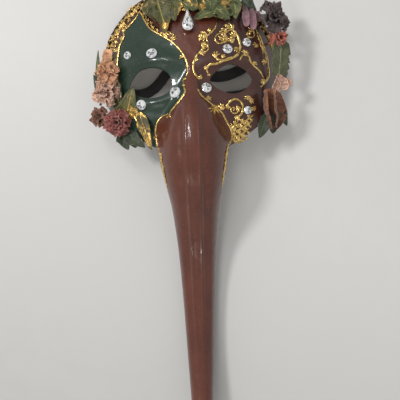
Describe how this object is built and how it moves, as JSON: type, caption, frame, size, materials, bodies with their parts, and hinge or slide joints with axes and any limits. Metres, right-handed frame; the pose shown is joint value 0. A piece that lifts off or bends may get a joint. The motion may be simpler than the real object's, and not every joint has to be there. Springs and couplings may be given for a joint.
{
  "type": "long-nosed costume half mask",
  "caption": "Long-nosed papier-mache half mask with open eye holes, gilt relief lines, crystals, silk flowers and leaves at the temples and satin ribbon ties.",
  "frame": {"origin": "on the middle plane, on the plane the mask rests on, under the line through the two eye holes", "axes": "+Z out of the face, +Y to the forehead, -Y along the nose, +X across the face"},
  "size_m": [0.2007, 0.458, 0.0881],
  "materials": {
    "lacquered_papier_mache": "gloss lacquer over papier-mache",
    "gilt_paste": "gilded relief paste",
    "gold_braid": "metallic thread gimp",
    "cut_glass": "faceted, foil backed",
    "black_satin": "satin",
    "leaf_silk": "stiffened silk",
    "flower_silk": "dyed silk"
  },
  "bodies": {
    "root": {"blossom_cream": "flower_silk", "blossom_mauve": "flower_silk", "blossom_peach": "flower_silk", "brow_braid": "gold_braid", "buds_cream": "flower_silk", "crystal_drop": "cut_glass", "crystals_green_side": "cut_glass", "crystals_purple_side": "cut_glass", "face_shell": "lacquered_papier_mache", "flower_netted": "flower_silk", "flower_tubular": "flower_silk", "gilt_brow_scroll": "gilt_paste", "gilt_cheek_lattice": "gilt_paste", "gilt_cheek_scroll": "gilt_paste", "gilt_cheek_stroke": "gilt_paste", "gilt_green_brow_line": "gilt_paste", "gilt_green_cheek_line": "gilt_paste", "gilt_green_rim_line": "gilt_paste", "gilt_lid_line": "gilt_paste", "gilt_nose_line_left": "gilt_paste", "gilt_nose_line_right": "gilt_paste", "gilt_purple_brow_line": "gilt_paste", "gilt_purple_cheek_line": "gilt_paste", "gilt_purple_rim_line": "gilt_paste", "gilt_temple_scrolls": "gilt_paste", "leaf_glitter": "leaf_silk", "leaf_left_outer": "leaf_silk", "leaf_left_tall": "leaf_silk", "leaf_olive": "leaf_silk", "leaf_serrated": "leaf_silk", "leaf_top_left": "leaf_silk", "leaf_top_right": "leaf_silk", "leaves_left_lower": "leaf_silk", "leaves_right_lower": "leaf_silk", "leaves_top_centre": "leaf_silk", "nose_shell": "lacquered_papier_mache", "ribbon_knot_left": "black_satin", "ribbon_knot_right": "black_satin", "ribbon_tie_left": "black_satin", "ribbon_tie_right": "black_satin", "rim_braid_left": "gold_braid", "rim_braid_right": "gold_braid", "rim_braid_top": "gold_braid", "rose_pink": "flower_silk", "rosette_brown": "flower_silk", "rosette_coral": "flower_silk"}
  },
  "joints": []
}
